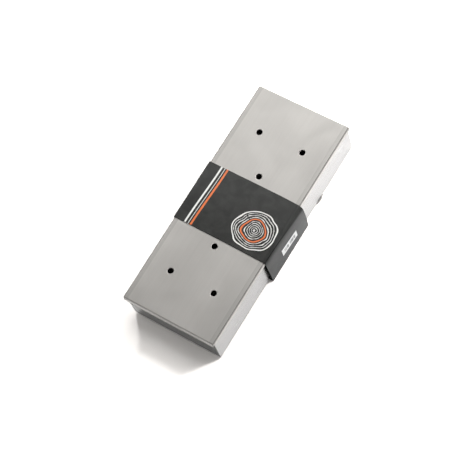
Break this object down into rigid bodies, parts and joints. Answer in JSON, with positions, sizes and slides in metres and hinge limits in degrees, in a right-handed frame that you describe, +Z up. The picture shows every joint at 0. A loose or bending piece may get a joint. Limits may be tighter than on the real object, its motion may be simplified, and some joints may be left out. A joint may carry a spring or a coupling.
{
  "type": "grill smoker box",
  "caption": "Long flat sheet-metal box with a perforated lid that slides on rolled rims, closed by a slack card band.",
  "frame": {"origin": "under the middle of the object's outer size, on the plane it stands on", "axes": "+X across the box towards the slack side of the sleeve, +Y along the box towards its rear end, +Z up"},
  "size_m": [0.0936, 0.2216, 0.0405],
  "materials": {
    "tray_steel": "bright rolled stainless sheet with a faint lengthwise grain",
    "end_wall_steel": "bright rolled stainless sheet with a faint upright grain",
    "lid_steel": "satin stainless sheet with a lengthwise grain and soft cloudy patches",
    "printed_card": "charcoal printed card with a satin surface and pale cut edges",
    "label_paper": "matt white paper with plain grey bars"
  },
  "bodies": {
    "tray": {"tray_shell": "tray_steel", "front_end_wall": "end_wall_steel", "rear_end_wall": "end_wall_steel"},
    "lid": {"sliding_lid": "lid_steel"},
    "sleeve": {"card_sleeve": "printed_card", "paper_label": "label_paper"}
  },
  "joints": [
    {"name": "lid_slide", "type": "slide", "parent": "tray", "child": "lid", "axis": [0, -1, 0], "range_m": [0, 0.219]},
    {"name": "sleeve_slide", "type": "slide", "parent": "tray", "child": "sleeve", "axis": [0, -1, 0], "range_m": [-0.141, 0.141]}
  ]
}
